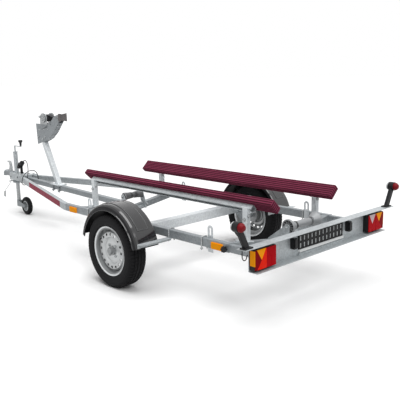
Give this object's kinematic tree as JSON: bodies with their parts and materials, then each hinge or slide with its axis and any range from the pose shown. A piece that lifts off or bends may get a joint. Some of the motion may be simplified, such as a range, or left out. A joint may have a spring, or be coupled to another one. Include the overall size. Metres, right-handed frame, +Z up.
{
  "type": "boat trailer",
  "caption": "Single-axle boat trailer with carpeted bunks, keel rollers, a hand winch on a leaning post, a jockey wheel and a pull-out light board.",
  "frame": {"origin": "on the ground, under the middle of the trailer's length and width", "axes": "+X forward along the drawbar, +Y to the trailer's left, +Z up"},
  "size_m": [4.538, 1.7152, 1.1545],
  "materials": {
    "galvanised": "hot-dip galvanised, pale mottled grey",
    "galvanised_dark": "hot-dip galvanised, duller grey",
    "hub_iron": "black painted casting",
    "wheel_silver": "satin silver paint",
    "tyre": "matt black rubber",
    "fender_black": "black moulded plastic, satin",
    "carpet": "ribbed maroon carpet",
    "webbing": "woven black webbing",
    "rubber_black": "matt black rubber",
    "plastic_black": "black plastic",
    "lamp_red": "clear-coated coloured lens",
    "lens_amber": "prismatic amber lens",
    "wire": "stranded steel"
  },
  "bodies": {
    "frame": {"left_rail": "galvanised", "right_rail": "galvanised", "left_drawbar_leg": "galvanised", "right_drawbar_leg": "galvanised", "drawbar_head": "galvanised", "coupling_handle": "galvanised", "axle_beam": "galvanised", "fender_brackets": "galvanised", "bunk_channels": "galvanised", "bunk_uprights": "galvanised", "winch_post": "galvanised", "winch_frame": "galvanised", "winch_crank": "galvanised", "jockey_tube": "galvanised", "jockey_crank": "galvanised", "front_roller_bracket": "galvanised", "rear_roller_bracket": "galvanised", "safety_hook": "galvanised", "spine": "galvanised_dark", "front_cross_member": "galvanised_dark", "rear_cross_member": "galvanised_dark", "coupling_head": "galvanised_dark", "left_axle_arm": "galvanised_dark", "right_axle_arm": "galvanised_dark", "tie_down_eyes": "galvanised_dark", "winch_bracket": "galvanised_dark", "winch_drum": "galvanised_dark", "jockey_clamp": "galvanised_dark", "left_fender": "fender_black", "right_fender": "fender_black", "left_bunk": "carpet", "right_bunk": "carpet", "winch_strap": "webbing", "bow_stop": "rubber_black", "trailer_cable": "rubber_black", "beam_knobs": "plastic_black", "plug_holder": "plastic_black", "trailer_plug": "plastic_black", "side_reflectors": "lens_amber", "safety_cable": "wire"},
    "left_wheel": {"left_hub": "hub_iron", "left_rim": "wheel_silver", "left_tyre": "tyre"},
    "right_wheel": {"right_hub": "hub_iron", "right_rim": "wheel_silver", "right_tyre": "tyre"},
    "jockey_slider": {"jockey_inner_tube": "galvanised"},
    "jockey_caster": {"jockey_fork": "galvanised_dark"},
    "jockey_wheel": {"jockey_rim": "wheel_silver", "jockey_tyre": "tyre"},
    "front_keel_roller": {"front_roller": "rubber_black"},
    "rear_keel_roller": {"rear_roller": "rubber_black"},
    "light_board": {"light_beam": "galvanised", "beam_arms": "galvanised_dark", "left_tail_lamp": "lamp_red", "right_tail_lamp": "lamp_red", "plate_holder": "plastic_black", "plate_lamps": "plastic_black", "marker_lamps": "rubber_black", "lamp_cable": "rubber_black"}
  },
  "joints": [
    {"name": "left_wheel_spin", "type": "hinge", "parent": "frame", "child": "left_wheel", "pos_m": [-0.931, 0.75, 0.2735], "axis": [0, 1, 0], "continuous": true},
    {"name": "right_wheel_spin", "type": "hinge", "parent": "frame", "child": "right_wheel", "pos_m": [-0.931, -0.75, 0.2735], "axis": [0, 1, 0], "continuous": true},
    {"name": "jockey_lift", "type": "slide", "parent": "frame", "child": "jockey_slider", "axis": [0, 0, 1], "range_m": [0, 0.15]},
    {"name": "jockey_swivel", "type": "hinge", "parent": "jockey_slider", "child": "jockey_caster", "pos_m": [1.989, 0, 0.13], "axis": [0, 0, 1], "continuous": true},
    {"name": "jockey_wheel_spin", "type": "hinge", "parent": "jockey_caster", "child": "jockey_wheel", "pos_m": [1.809, 0, 0.1], "axis": [0, 1, 0], "continuous": true},
    {"name": "front_keel_roller_spin", "type": "hinge", "parent": "frame", "child": "front_keel_roller", "pos_m": [-0.156, 0, 0.467], "axis": [0, 1, 0], "continuous": true},
    {"name": "rear_keel_roller_spin", "type": "hinge", "parent": "frame", "child": "rear_keel_roller", "pos_m": [-2.034, 0, 0.508], "axis": [0, 1, 0], "continuous": true},
    {"name": "light_board_slide", "type": "slide", "parent": "frame", "child": "light_board", "axis": [-1, 0, 0], "range_m": [0, 0.4]}
  ]
}
